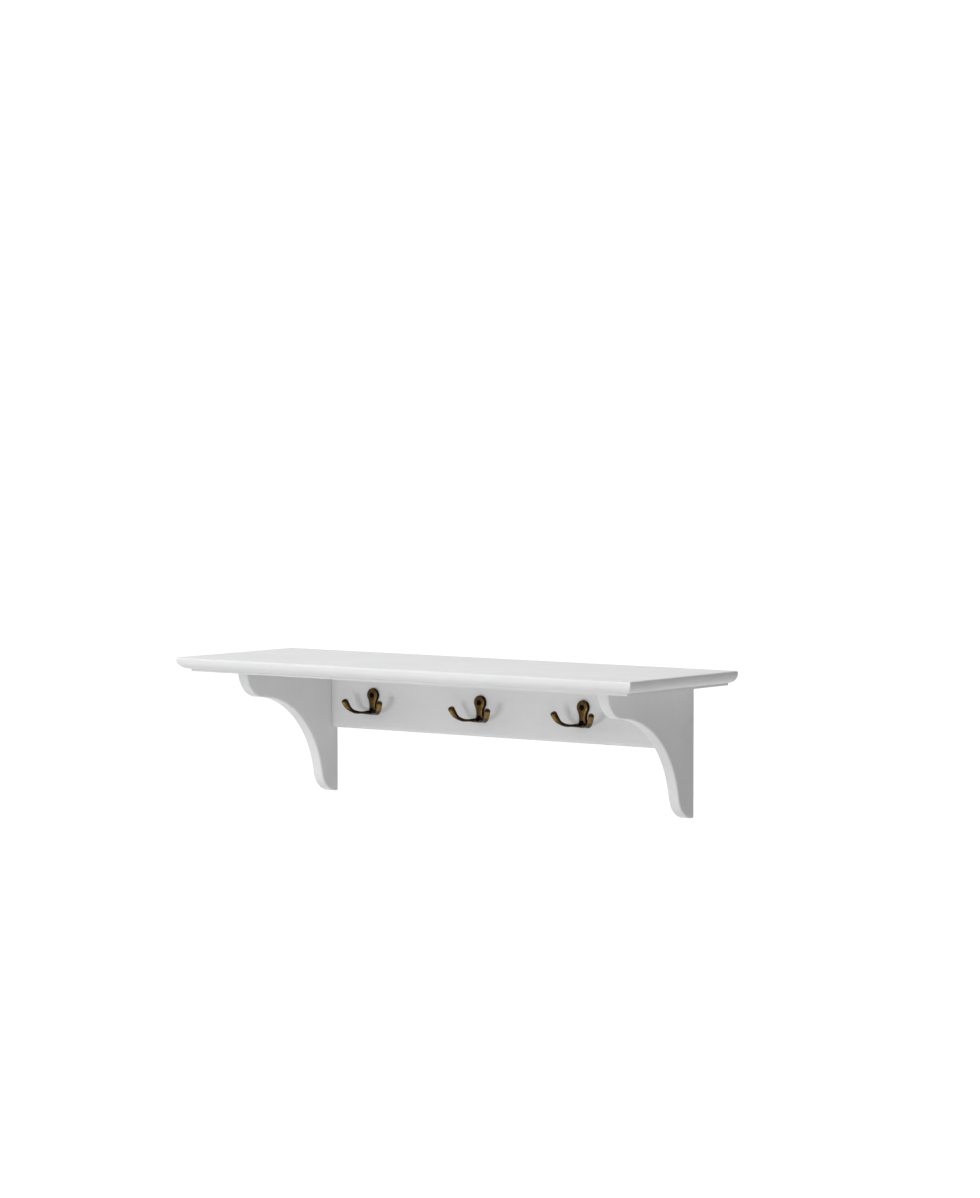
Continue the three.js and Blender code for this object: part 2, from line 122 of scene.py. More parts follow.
HANGER_CORNER_RADIUS = 0.004
HANGER_HOLE_RADIUS = 0.005
HANGER_HOLE_DROP = 0.006
HANGER_SLOT_RADIUS = 0.0025
HANGER_SLOT_RISE = 0.007
HANGER_SCREW_OFFSET = 0.0185
HANGER_POCKET_DEPTH = 0.0055
HANGER_POCKET_MARGIN = 0.001
HANGER_SCREW_RIM = 0.0004
HANGER_EASE = 0.00015

DOWEL_CHAMFER = 0.001
DOWEL_FLUTES = 14
DOWEL_FLUTE_DEPTH = 0.0002

X_AXIS = Vector((1, 0, 0))
Y_AXIS = Vector((0, 1, 0))
Z_AXIS = Vector((0, 0, 1))


# ---- Mesh helpers ----


def lerp(a, b, share):
    return a + (b - a) * share


def smoothstep(value, low, high):
    share = min(max((value - low) / (high - low), 0), 1)
    return share * share * (3 - 2 * share)


def arc(centre, radius, start, end, steps, clockwise=False):
    """Points of an arc in a plane, as (across, up), from one angle to another."""
    turn = (end - start) % (2 * math.pi)
    if clockwise:
        turn -= 2 * math.pi
    angles = [start + turn * i / steps for i in range(steps + 1)]
    return [(centre[0] + radius * math.cos(a), centre[1] + radius * math.sin(a)) for a in angles]


def hollow_centre(first, first_radius, second, second_radius, radius):
    """Centre of a hollow curve that runs smoothly into two round ends, to the left of first to second."""
    first, second = Vector(first), Vector(second)
    to_first = first_radius + radius
    to_second = second_radius + radius
    between = (second - first).length
    along = (to_first**2 - to_second**2 + between**2) / (2 * between)
    aside = math.sqrt(to_first**2 - along**2)
    direction = (second - first) / between
    return first + direction * along + Vector((-direction.y, direction.x)) * aside


def angle_from(start, end):
    return math.atan2(end[1] - start[1], end[0] - start[0])


def join_rings(mesh, rings):
    """Faces between neighbouring rings of points, where a ring of one point closes the shape."""
    sides = max(len(ring) for ring in rings)
    for lower, upper in zip(rings, rings[1:]):
        for i in range(sides):
            j = (i + 1) % sides
            corners = [lower[i % len(lower)], lower[j % len(lower)]]
            corners += [upper[j % len(upper)], upper[i % len(upper)]]
            mesh.faces.new(list(dict.fromkeys(corners)))


def add_loft(mesh, rings):
    """A closed skin over rings of equal point counts, with a flat cap on the first and the last ring."""
    loops = [[mesh.verts.new(point) for point in ring] for ring in rings]
    join_rings(mesh, loops)
    mesh.faces.new(list(reversed(loops[0])))
    mesh.faces.new(loops[-1])


def add_prism(mesh, outline, step):
    """An outline of points in space, carried along a step."""
    add_loft(mesh, [outline, [point + step for point in outline]])


def add_turned(mesh, profile, base, direction):
    """A solid turned from (radius, distance) pairs, where a radius of 0 is a closing point."""
    turn = Z_AXIS.rotation_difference(direction).to_matrix()
    loops = []
    for radius, distance in profile:
        ring = []
        for i in range(TURNED_SIDES if radius > 0 else 1):
            angle = 2 * math.pi * i / TURNED_SIDES
            local = Vector((radius * math.cos(angle), radius * math.sin(angle), distance))
            ring.append(mesh.verts.new(base + turn @ local))
        loops.append(ring)
    join_rings(mesh, loops)


def add_hole(mesh, radius, mouth, into, depth):
    """A drilled hole, started a little before its mouth so that it cuts the surface cleanly."""
    start = mouth - into * GAP
    profile = [(0, 0), (radius, 0), (radius, depth + GAP), (0, depth + GAP)]
    add_turned(mesh, profile, start, into)


def add_dowel_hole(mesh, dowel, face, into):
    """A dowel's hole in one piece, from the level of the piece's face to just past the dowel's end."""
    low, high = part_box(dowel)
    size = high - low
    axis = 0 if into.x else 2
    across = size.z if into.x else size.x
    mouth = (low + high) / 2
    mouth[axis] = face
    end = high[axis] if into[axis] > 0 else low[axis]
    add_hole(mesh, across / 2 + GAP, mouth, into, abs(end - face) + GAP)


def new_object(name, mesh):
    bmesh.ops.recalc_face_normals(mesh, faces=mesh.faces)
    data = bpy.data.meshes.new(name)
    mesh.to_mesh(data)
    mesh.free()
    thing = bpy.data.objects.new(name, data)
    bpy.context.scene.collection.objects.link(thing)
    return thing


def apply_modifiers(piece):
    graph = bpy.context.evaluated_depsgraph_get()
    result = bpy.data.meshes.new_from_object(piece.evaluated_get(graph))
    unused = piece.data
    piece.modifiers.clear()
    piece.data = result
    bpy.data.meshes.remove(unused)


def drop_slivers(piece):
    """Merges points that lie on one another and drops the faces that have no area."""
    mesh = bmesh.new()
    mesh.from_mesh(piece.data)
    bmesh.ops.remove_doubles(mesh, verts=mesh.verts, dist=SAME_PLACE)
    bmesh.ops.dissolve_degenerate(mesh, edges=mesh.edges, dist=SAME_PLACE)
    mesh.to_mesh(piece.data)
    mesh.free()


def cut(piece, cutters):
    """Takes the closed solids of the mesh `cutters` away from a piece."""
    tool = new_object("cutters", cutters)
    boolean = piece.modifiers.new("cut", "BOOLEAN")
    boolean.operation = "DIFFERENCE"
    boolean.solver = "EXACT"
    boolean.use_self = True
    boolean.object = tool
    apply_modifiers(piece)
    drop_slivers(piece)
    unused = tool.data
    bpy.data.objects.remove(tool)
    bpy.data.meshes.remove(unused)


def shade(piece, sharp_angle=50):
    piece.data.shade_smooth()
    piece.data.set_sharp_from_angle(angle=math.radians(sharp_angle))


def ease_edges(piece, width, segments=3):
    """Small rounds on the hard edges of a piece, with normals that keep its flat faces flat."""
    bevel = piece.modifiers.new("eased_edges", "BEVEL")
    bevel.width = width
    bevel.segments = segments
    bevel.limit_method = "ANGLE"
    bevel.angle_limit = math.radians(45)
    bevel.use_clamp_overlap = True
    apply_modifiers(piece)
    drop_slivers(piece)
    shade(piece)
    normals = piece.modifiers.new("flat_faces", "WEIGHTED_NORMAL")
    normals.keep_sharp = True


def add_piece(piece, material, nodes):
    """Gives a finished piece its material and its place in the frame."""
    piece.data.materials.clear()
    piece.data.materials.append(material)
    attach(piece, BODY)
    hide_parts(*nodes)
    return piece


# ---- Materials ----


class Nodes:
    """The node tree of one new material, with short ways to add and join nodes."""

    def __init__(self, name):
        self.material = bpy.data.materials.new(name)
        self.material.use_nodes = True
        self.tree = self.material.node_tree
        self.shader = self.tree.nodes["Principled BSDF"]
        self.place = self.add("ShaderNodeTexCoord").outputs["Object"]

    def add(self, kind, **settings):
        node = self.tree.nodes.new(kind)
        for key, value in settings.items():
            setattr(node, key, value)
        return node

    def join(self, output, socket):
        self.tree.links.new(output, socket)

    def noise(self, size, detail=3.0, stretch=(1, 1, 1), roughness=0.5, distortion=0.0):
        """Noise whose features are about `size` metres across, longer along an axis with a small stretch."""
        mapping = self.add("ShaderNodeMapping")
        mapping.inputs["Scale"].default_value = [axis / size for axis in stretch]
        self.join(self.place, mapping.inputs["Vector"])
        noise = self.add("ShaderNodeTexNoise")
        noise.inputs["Scale"].default_value = 1
        noise.inputs["Detail"].default_value = detail
        noise.inputs["Roughness"].default_value = roughness
        noise.inputs["Distortion"].default_value = distortion
        self.join(mapping.outputs["Vector"], noise.inputs["Vector"])
        return noise.outputs["Fac"]

    def ramp(self, value, stops):
        """A colour ramp; each stop is (position, colour or grey level)."""
        node = self.add("ShaderNodeValToRGB")
        elements = node.color_ramp.elements
        while len(elements) < len(stops):
            elements.new(0.5)
        for element, (position, level) in zip(elements, stops):
            element.position = position
            colour = level if isinstance(level, tuple) else (level,) * 3
            element.color = (*colour, 1)
        self.join(value, node.inputs["Fac"])
        return node.outputs["Color"]

    def mix(self, kind, share, first, second):
        """Mixes two colours; the share is a number or an output."""
        node = self.add("ShaderNodeMix", data_type="RGBA", blend_type=kind)
        sockets = (node.inputs["Factor"], node.inputs[6], node.inputs[7])
        for socket, value in zip(sockets, (share, first, second)):
            if isinstance(value, bpy.types.NodeSocket):
                self.join(value, socket)
            elif isinstance(value, tuple):
                socket.default_value = (*value, 1)
            else:
                socket.default_value = value
        return node.outputs[2]

    def math(self, operation, first, second):
        node = self.add("ShaderNodeMath", operation=operation)
        for socket, value in zip(node.inputs, (first, second)):
            if isinstance(value, bpy.types.NodeSocket):
                self.join(value, socket)
            else:
                socket.default_value = value
        return node.outputs["Value"]

    def edges(self):
        """Bright on outer edges and dark in hollows, about 0.5 on a flat face."""
        return self.add("ShaderNodeNewGeometry").outputs["Pointiness"]

    def bump(self, heights):
        """Bumps from (height output, depth in metres) pairs, one over the other."""
        normal = None
        for height, depth in heights:
            node = self.add("ShaderNodeBump")
            node.inputs["Distance"].default_value = depth
            self.join(height, node.inputs["Height"])
            if normal is not None:
                self.join(normal, node.inputs["Normal"])
            normal = node.outputs["Normal"]
        self.join(normal, self.shader.inputs["Normal"])


def white_paint(name, stroke):
    """Satin white paint with faint brush strokes; `stroke` is small along the axis that they follow."""
    nodes = Nodes(name)
    cloudy = nodes.ramp(nodes.noise(0.09, 3), [(0.3, (0.755, 0.757, 0.76)), (0.7, (0.785, 0.786, 0.788))])
    strokes = nodes.noise(0.0022, 2, stroke)
    streaks = nodes.ramp(strokes, [(0.35, 0.985), (0.65, 1.0)])
    colour = nodes.mix("MULTIPLY", 1.0, cloudy, streaks)
    specks = nodes.ramp(nodes.noise(0.0012, 1), [(0.22, 0.9), (0.27, 1.0)])
    colour = nodes.mix("MULTIPLY", 0.35, colour, specks)
    worn = nodes.ramp(nodes.edges(), [(0.52, 0.0), (0.62, 1.0)])
    patchy = nodes.ramp(nodes.noise(0.012, 4), [(0.5, 0.0), (0.62, 1.0)])
    wear = nodes.mix("MULTIPLY", 1.0, worn, patchy)
    colour = nodes.mix("MIX", nodes.math("MULTIPLY", wear, 0.25), colour, (0.66, 0.64, 0.6))
    nodes.join(colour, nodes.shader.inputs["Base Color"])
    roughness = nodes.ramp(nodes.noise(0.02, 4, stroke), [(0.3, 0.4), (0.7, 0.5)])
    nodes.join(roughness, nodes.shader.inputs["Roughness"])
    nodes.shader.inputs["IOR"].default_value = 1.48
    nodes.shader.inputs["Coat Weight"].default_value = 0.08
    nodes.shader.inputs["Coat Roughness"].default_value = 0.3
    nodes.bump([(strokes, 0.00003), (nodes.noise(0.0009, 2), 0.00002)])
    return nodes.material


def antique_brass(name, darkness):
    """Dark brown patina, lifted to golden brass where the mesh's attribute of rubbed wear and painted light
    is high, which paints highlights; where it is low the dark patina also carries painted shade. `darkness`
    lowers the whole level.
    """
    nodes = Nodes(name)
    blotches = nodes.noise(0.0045, 5, roughness=0.6, distortion=0.4)
    fine = nodes.noise(0.0009, 4, roughness=0.65)
    rubbed_and_painted_light = nodes.add("ShaderNodeAttribute", attribute_name=RUBBED_AND_PAINTED_LIGHT).outputs["Fac"]
    # Painted highlight and shade with rubbed wear, from the mesh attribute, plus random patina blotches.
    rubbed_and_lit_level = nodes.math("ADD", nodes.math("MULTIPLY", rubbed_and_painted_light, 0.5), nodes.math("MULTIPLY", blotches, 0.35))
    rubbed_and_lit_level = nodes.math("ADD", rubbed_and_lit_level, nodes.math("MULTIPLY", fine, 0.2))
    rubbed_and_lit_level = nodes.math("SUBTRACT", rubbed_and_lit_level, darkness)
    stops = [
        (0.3, (0.010, 0.006, 0.003)),
        (0.45, (0.042, 0.023, 0.008)),
        (0.6, (0.15, 0.09, 0.028)),
        (0.85, (0.46, 0.29, 0.09)),
    ]
    nodes.join(nodes.ramp(rubbed_and_lit_level, stops), nodes.shader.inputs["Base Color"])
    nodes.shader.inputs["Metallic"].default_value = 0.95
    roughness = nodes.ramp(rubbed_and_lit_level, [(0.3, 0.5), (0.8, 0.27)])
    nodes.join(roughness, nodes.shader.inputs["Roughness"])
    nodes.bump([(blotches, 0.00012), (fine, 0.00005)])
    return nodes.material


def zinc_steel(name):
    """Zinc plate: pale crystalline patches with fine rolling lines."""
    nodes = Nodes(name)
    cells = nodes.add("ShaderNodeTexVoronoi", feature="F1")
    cells.inputs["Scale"].default_value = 1 / 0.003
    nodes.join(nodes.place, cells.inputs["Vector"])
    tint = nodes.ramp(cells.outputs["Color"], [(0.2, (0.52, 0.53, 0.55)), (0.8, (0.7, 0.71, 0.72))])
    lines = nodes.noise(0.0004, 2, (1, 1, 0.05))
    dull = nodes.ramp(nodes.noise(0.008, 4), [(0.35, 0.8), (0.65, 1.0)])
    colour = nodes.mix("MULTIPLY", 0.8, tint, dull)
    nodes.join(colour, nodes.shader.inputs["Base Color"])
    nodes.shader.inputs["Metallic"].default_value = 0.95
    nodes.join(nodes.ramp(lines, [(0.3, 0.32), (0.7, 0.48)]), nodes.shader.inputs["Roughness"])
    nodes.bump([(lines, 0.00001), (cells.outputs["Distance"], 0.00001)])
    return nodes.material


def beech(name, along):
    """Bare beech with short dark flecks; `along` is small along the grain."""
    nodes = Nodes(name)
    grain = nodes.noise(0.0012, 4, along)
    colour = nodes.ramp(grain, [(0.3, (0.5, 0.32, 0.18)), (0.7, (0.74, 0.54, 0.35))])
    flecks = nodes.ramp(nodes.noise(0.0005, 1, along), [(0.3, 0.62), (0.36, 1.0)])
    nodes.join(nodes.mix("MULTIPLY", 0.8, colour, flecks), nodes.shader.inputs["Base Color"])
    nodes.join(nodes.ramp(grain, [(0.3, 0.75), (0.7, 0.6)]), nodes.shader.inputs["Roughness"])
    nodes.bump([(grain, 0.00006)])
    return nodes.material


# ---- Board ----


def moulded_edge():
    """The board's edge from its top to its underside, as (inset, depth below the top)."""
    low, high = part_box("shelf_board")
    thickness = high.z - low.z
    ovolo_height = thickness - BOARD_FILLET - BOARD_ARRIS
    arris_steps = 6
    ovolo_steps = 22
    points = []
    for i in range(arris_steps + 1):
        angle = math.pi / 2 * (1 - i / arris_steps)
        points.append((BOARD_ARRIS * (1 - math.cos(angle)), BOARD_ARRIS * (1 - math.sin(angle))))
    for i in range(1, ovolo_steps + 1):
        angle = math.pi / 2 * i / ovolo_steps
        inset = BOARD_OVOLO_INSET * (1 - math.cos(angle))
        points.append((inset, BOARD_ARRIS + ovolo_height * math.sin(angle)))
    points.append((BOARD_OVOLO_INSET, thickness))
    return points


def board_ring(inset, z):
    """The board's outline at one level: up the left end, round the front corners and back to the wall."""
    low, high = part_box("shelf_board")
    radius = BOARD_MITRE_RADIUS
    left, right, front = low.x + inset, high.x - inset, low.y + inset
    plan = [(left, high.y)]
    plan += arc((left + radius, front + radius), radius, math.pi, 1.5 * math.pi, 4)
    plan += arc((right - radius, front + radius), radius, 1.5 * math.pi, 2 * math.pi, 4)
    plan.append((right, high.y))
    return [Vector((x, y, z)) for x, y in plan]


def make_board(material):
    low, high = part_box("shelf_board")
    mesh = bmesh.new()
    add_loft(mesh, [board_ring(inset, high.z - depth) for inset, depth in moulded_edge()])
    board = new_object("board", mesh)
    holes = bmesh.new()
    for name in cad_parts:
        if "_bracket_dowel_" in name or name.startswith("top_rail_dowel_"):
            add_dowel_hole(holes, name, low.z, Z_AXIS)
    cut(board, holes)
    ease_edges(board, BOARD_EASE)
    return add_piece(board, material, ["shelf_board"])


# ---- Brackets ----


def bracket_outline(inset, reach, drop, top):
    """The bracket's closed outline as (depth from the wall, height from the board), set in by `inset`."""
    nose = (reach - BRACKET_NOSE_RADIUS, BRACKET_NOSE_RISE)
    foot = (BRACKET_FOOT_DEPTH - BRACKET_FOOT_RADIUS, BRACKET_FOOT_RADIUS - drop)
    sweep = hollow_centre(nose, BRACKET_NOSE_RADIUS, foot, BRACKET_FOOT_RADIUS, BRACKET_SWEEP_RADIUS)
    nose_end = angle_from(nose, sweep)
    sweep_end = angle_from(sweep, foot)
    nose_radius = BRACKET_NOSE_RADIUS - inset
    nose_start = math.asin((top - nose[1]) / nose_radius)
    outline = arc(nose, nose_radius, nose_start, nose_end, 28, clockwise=True)
    sweep_radius = BRACKET_SWEEP_RADIUS + inset
    outline += arc(sweep, sweep_radius, nose_end + math.pi, sweep_end, 40)[1:]
    foot_radius = BRACKET_FOOT_RADIUS - inset
    outline += arc(foot, foot_radius, sweep_end + math.pi, -math.pi / 2, 24, clockwise=True)[1:]
    outline += [(0, inset - drop), (0, top)]
    return outline


def rounded_section(thickness, radius, steps):
    """(inset, place across) pairs from one face of a slab to the other, with both its edges rounded."""
    half = []
    for i in range(steps + 1):
        angle = math.pi / 2 * i / steps
        half.append((radius * (1 - math.sin(angle)), radius * (1 - math.cos(angle)) - thickness / 2))
    return half + [(inset, -place) for inset, place in reversed(half)]


def make_bracket(side, material):
    node = f"{side}_bracket"
    low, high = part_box(node)
    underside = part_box("shelf_board")[0].z
    centre_x = (low.x + high.x) / 2
    reach = high.y - low.y
    drop = underside - low.z
    top = high.z - underside
    mesh = bmesh.new()
    rings = []
    for inset, across in rounded_section(high.x - low.x, BRACKET_EDGE_ROUND, 7):
        outline = bracket_outline(inset, reach, drop, top)
        x = centre_x + across
        rings.append([Vector((x, high.y - depth, underside + height)) for depth, height in outline])
    add_loft(mesh, rings)
    bracket = new_object(f"{side}_side_bracket", mesh)
    holes = bmesh.new()
    for place in ("rear", "front"):
        add_dowel_hole(holes, f"{node}_dowel_{place}", high.z, -Z_AXIS)
    for place in ("upper", "lower"):
        dowel = f"{side}_rail_dowel_{place}"
        if side == "right":
            add_dowel_hole(holes, dowel, low.x, X_AXIS)
        else:
            add_dowel_hole(holes, dowel, high.x, -X_AXIS)
    cut(bracket, holes)
    ease_edges(bracket, WOOD_EASE)
    return add_piece(bracket, material, [node])


# ---- Rail ----


def hanger_outline(node, margin):
    """A hanger plate's rounded outline in the plane of the wall, wider by `margin` all round."""
    low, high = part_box(node)
    radius = HANGER_CORNER_RADIUS + margin
    left, right = low.x - margin + radius, high.x + margin - radius
    bottom, top = low.z - margin + radius, high.z + margin - radius
    quarter = math.pi / 2
    corners = [(right, top), (left, top), (left, bottom), (right, bottom)]
    points = []
    for number, corner in enumerate(corners):
        start = number * quarter
        points += arc(corner, radius, start, start + quarter, 8)
    return points


def upright(points, y):
    """Points given as (x, z), set at one distance from the wall."""
    return [Vector((x, y, z)) for x, z in points]


def make_rail(material):
    low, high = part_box("back_rail")
    arc_centre = (low.y + RAIL_EDGE_ROUND, low.z + RAIL_EDGE_ROUND)
    section = [(high.y, high.z), (low.y, high.z)]
    section += arc(arc_centre, RAIL_EDGE_ROUND, math.pi, 1.5 * math.pi, 12)
    section.append((high.y, low.z))
    outline = [Vector((low.x, y, z)) for y, z in section]
    mesh = bmesh.new()
    add_prism(mesh, outline, X_AXIS * (high.x - low.x))
    rail = new_object("hook_rail", mesh)

    holes = bmesh.new()
    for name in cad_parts:
        part_low, part_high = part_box(name)
        centre = (part_low + part_high) / 2
        if name.startswith("top_rail_dowel_"):
            add_dowel_hole(holes, name, high.z, -Z_AXIS)
        elif name.startswith("right_rail_dowel_"):
            add_dowel_hole(holes, name, high.x, -X_AXIS)
        elif name.startswith("left_rail_dowel_"):
            add_dowel_hole(holes, name, low.x, X_AXIS)
        elif "_hook_screw_" in name:
            mouth = Vector((centre.x, low.y, centre.z))
            add_hole(holes, SCREW_SHANK_RADIUS + GAP, mouth, Y_AXIS, part_high.y - low.y + GAP)
        elif "_hanger_plate_screw_" in name:
            mouth = Vector((centre.x, high.y, centre.z))
            add_hole(holes, SCREW_SHANK_RADIUS + GAP, mouth, -Y_AXIS, high.y - part_low.y + GAP)
    cut(rail, holes)

    beds = bmesh.new()
    pockets = bmesh.new()
    for side in ("left", "right"):
        plate_low, plate_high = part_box(f"{side}_hanger_plate")
        bed_y = plate_low.y - GAP
        outline = upright(hanger_outline(f"{side}_hanger_plate", GAP), high.y + GAP)
        add_prism(beds, outline, Y_AXIS * (bed_y - high.y - GAP))
        centre = (plate_low + plate_high) / 2
        margin = HANGER_HOLE_RADIUS + HANGER_POCKET_MARGIN
        bottom = centre.z - HANGER_HOLE_DROP
        top = centre.z + HANGER_SLOT_RISE + HANGER_POCKET_MARGIN
        router_path = arc((centre.x, bottom), margin, math.pi, 2 * math.pi, 20)
        router_path += arc((centre.x, top), margin, 0, math.pi, 20)
        outline = upright(router_path, high.y + GAP)
        add_prism(pockets, outline, Y_AXIS * (bed_y - HANGER_POCKET_DEPTH - high.y - GAP))
    cut(rail, beds)
    cut(rail, pockets)
    ease_edges(rail, WOOD_EASE)
    return add_piece(rail, material, ["back_rail"])


# ---- Hooks ----


def plate_ring(inset, y):
    """The outline of a hook's plate, with the upper screw at x = z = 0, set in by `inset`."""
    lobe = (0, -SCREW_SPACING)
    neck = hollow_centre((0, 0), PLATE_DISC_RADIUS, lobe, PLATE_LOBE_RADIUS, PLATE_NECK_RADIUS)
    disc_end = angle_from((0, 0), neck)
    neck_end = angle_from(neck, lobe)
    disc_radius = PLATE_DISC_RADIUS - inset
    neck_radius = PLATE_NECK_RADIUS + inset
    lobe_radius = PLATE_LOBE_RADIUS - inset
    right = arc((0, 0), disc_radius, math.pi / 2, disc_end, 16, clockwise=True)
    right += arc(neck, neck_radius, disc_end + math.pi, neck_end, 14)[1:]
    right += arc(lobe, lobe_radius, neck_end + math.pi, -math.pi / 2, 14, clockwise=True)[1:]
    left = [(-x, z) for x, z in reversed(right[1:-1])]
    return [Vector((x, y, z)) for x, z in right + left]


def add_plate(mesh):
    """The plate: an upright edge, a soft round and a face that swells a little towards its middle."""
    steps = 6
    rings = [plate_ring(0, PLATE_SPARE)]
    for i in range(steps + 1):
        angle = math.pi / 2 * i / steps
        inset = PLATE_EDGE_ROUND * (1 - math.cos(angle))
        rings.append(plate_ring(inset, PLATE_EDGE_ROUND * (1 - math.sin(angle)) - PLATE_THICKNESS))
    for share, swell in ((0.5, 0.7), (1, 1)):
        inset = PLATE_EDGE_ROUND + PLATE_CROWN_WIDTH * share
        rings.append(plate_ring(inset, -PLATE_THICKNESS - PLATE_CROWN * swell))
    add_loft(mesh, rings)


def arm_point(distance):
    """Place and direction of the arm's centre line, as (out, up) pairs, at a distance along it."""
    bend_length = ARM_BEND_RADIUS * ARM_BEND
    if distance <= ARM_RUN:
        return Vector((distance, 0)), Vector((1, 0))
    angle = min((distance - ARM_RUN) / ARM_BEND_RADIUS, ARM_BEND)
    direction = Vector((math.cos(angle), math.sin(angle)))
    place = Vector((ARM_RUN + ARM_BEND_RADIUS * math.sin(angle), ARM_BEND_RADIUS * (1 - math.cos(angle))))
    return place + direction * max(distance - ARM_RUN - bend_length, 0), direction


# Half the arm's width and half its thickness at shares of its length.
ARM_SECTIONS = [
    (0.0, 0.0042, 0.0030),
    (0.12, 0.0038, 0.0024),
    (0.3, 0.0031, 0.0016),
    (0.55, 0.0031, 0.0022),
    (0.82, 0.0036, 0.0040),
    (1.0, 0.0037, 0.0045),
]


def arm_section(share):
    for start, end in zip(ARM_SECTIONS, ARM_SECTIONS[1:]):
        if share <= end[0]:
            blend = smoothstep(share, start[0], end[0])
            return lerp(start[1], end[1], blend), lerp(start[2], end[2], blend)
    return ARM_SECTIONS[-1][1:]


def add_arm(mesh, side):
    """One arm: an oval section swept along its centre line, with a rounded blunt end."""
    length = ARM_RUN + ARM_BEND_RADIUS * ARM_BEND + ARM_TIP
    outwards = Vector((side * math.sin(ARM_ANGLE), -math.cos(ARM_ANGLE), 0))
    across = outwards.cross(Z_AXIS)
    root = Vector((side * ARM_ROOT.x, ARM_ROOT.y, ARM_ROOT.z))
    steps = 60
    sides = 32
    bluntness, fullness = 2.6, 2.2  # powers of the curve that closes the end
    smallest = 0.03  # the last ring's share of the full section
    rings = []
    for i in range(steps + 1):
        share = math.sin(math.pi / 2 * i / steps)
        place, direction = arm_point(share * length)
        width, thickness = arm_section(share)
        into_end = max(0, (share - 1 + ARM_ROUNDING) / ARM_ROUNDING)
        closing = max(1 - into_end**bluntness, 0.0) ** (1 / fullness)
        closing = max(closing, smallest)
        ring = []
        for j in range(sides):
            angle = 2 * math.pi * j / sides
            lift = closing * thickness * math.sin(angle)
            point = root + outwards * (place.x - lift * direction.y)
            point += Z_AXIS * (place.y + lift * direction.x)
            ring.append(point + across * (closing * width * math.cos(angle)))
        rings.append(ring)
    add_loft(mesh, rings)


def melt_together(piece, voxel, smoothing, weigh=None):
    """Makes one skin of a piece's overlapping solids and smooths it, by a weight for each point."""
    remesh = piece.modifiers.new("one_skin", "REMESH")
    remesh.mode = "VOXEL"
    remesh.voxel_size = voxel
    apply_modifiers(piece)
    smooth = piece.modifiers.new("soften", "SMOOTH")
    smooth.factor = 0.5
    smooth.iterations = smoothing
    if weigh is not None:
        group = piece.vertex_groups.new(name="softened")
        for vertex in piece.data.vertices:
            group.add([vertex.index], weigh(vertex.co), "REPLACE")
        smooth.vertex_group = group.name
    apply_modifiers(piece)
    piece.vertex_groups.clear()


def near_the_roots(point):
    """Full where the arms leave the plate, none near its back and on the rest of the arms."""
    close = 1 - smoothstep((point - ARM_ROOTS).length, 0.006, 0.013)
    return close * smoothstep(-point.y, 0.0006, 0.002)


def rubbed_and_painted_light_share(point, normal):
    """How light the hook is drawn at a point, rubbed wear mixed with painted highlights: most on the outer
    faces of the arms, which turn downwards, and none in the screw holes, which is painted shade.
    """
    above_root = point.z - ARM_ROOT.z
    if point.y > -PLATE_THICKNESS - 0.001:
        # The plate: rubbed wear with a painted highlight on its face, which turns to the front, and painted
        # shade round its side.
        share = lerp(0.05, 0.6, smoothstep(-normal.y, 0.6, 1.0))
    else:
        # The arms: rubbed wear with a painted highlight on their outer faces, which turn downwards, darker
        # low down, and rubbed all round their ends.
        share = lerp(0.1, 0.85, smoothstep(-normal.z, -0.6, 0.5))
        share *= lerp(0.45, 1, smoothstep(above_root, 0.002, 0.007))
        share = max(share, 0.55 * smoothstep(above_root, 0.012, 0.018))
    # Painted shade: the surface darkens into the screw holes.
    if point.y > -PLATE_THICKNESS - 0.002:
        for z in (0, -SCREW_SPACING):
            from_screw = math.hypot(point.x, point.z - z)
            share *= smoothstep(from_screw, SCREW_HEAD_RADIUS, SCREW_HEAD_RADIUS + 0.0012)
    return share


def make_hook_shape():
    """One hook about its upper screw, with the back of its plate at y = 0."""
    mesh = bmesh.new()
    add_plate(mesh)
    for side in (-1, 1):
        add_arm(mesh, side)
    hook = new_object("hook_shape", mesh)
    melt_together(hook, MELT_VOXEL, smoothing=30, weigh=near_the_roots)
    holes = bmesh.new()
    wide = SCREW_HEAD_RADIUS + GAP
    narrow = SCREW_SHANK_RADIUS + GAP
    through = PLATE_THICKNESS + PLATE_SPARE
    profile = [
        (0, -through),
        (wide + COUNTERSINK_SPREAD, -through),
        (wide + COUNTERSINK_SPREAD, -COUNTERSINK_SPREAD),
        (wide, 0),
        (narrow, SCREW_HEAD_DEPTH),
        (narrow, through),
        (0, through),
    ]
    for z in (0, -SCREW_SPACING):
        add_turned(holes, profile, Vector((0, -PLATE_THICKNESS, z)), Y_AXIS)
    cut(hook, holes)
    melt_together(hook, FINE_VOXEL, smoothing=3)
    behind = bmesh.new()
    reach = 2 * PLATE_DISC_RADIUS + SCREW_SPACING
    square = [(-reach, -reach), (reach, -reach), (reach, reach), (-reach, reach)]
    add_prism(behind, upright(square, 0), Y_AXIS * 2 * PLATE_SPARE)
    cut(hook, behind)
    shade(hook)
    # Painted highlight and shade, mixed with rubbed wear, stored on each point for the brass material.
    rubbed_and_painted_light = hook.data.attributes.new(RUBBED_AND_PAINTED_LIGHT, "FLOAT", "POINT")
    shares = [rubbed_and_painted_light_share(vertex.co, vertex.normal) for vertex in hook.data.vertices]
    rubbed_and_painted_light.data.foreach_set("value", shares)
    return hook


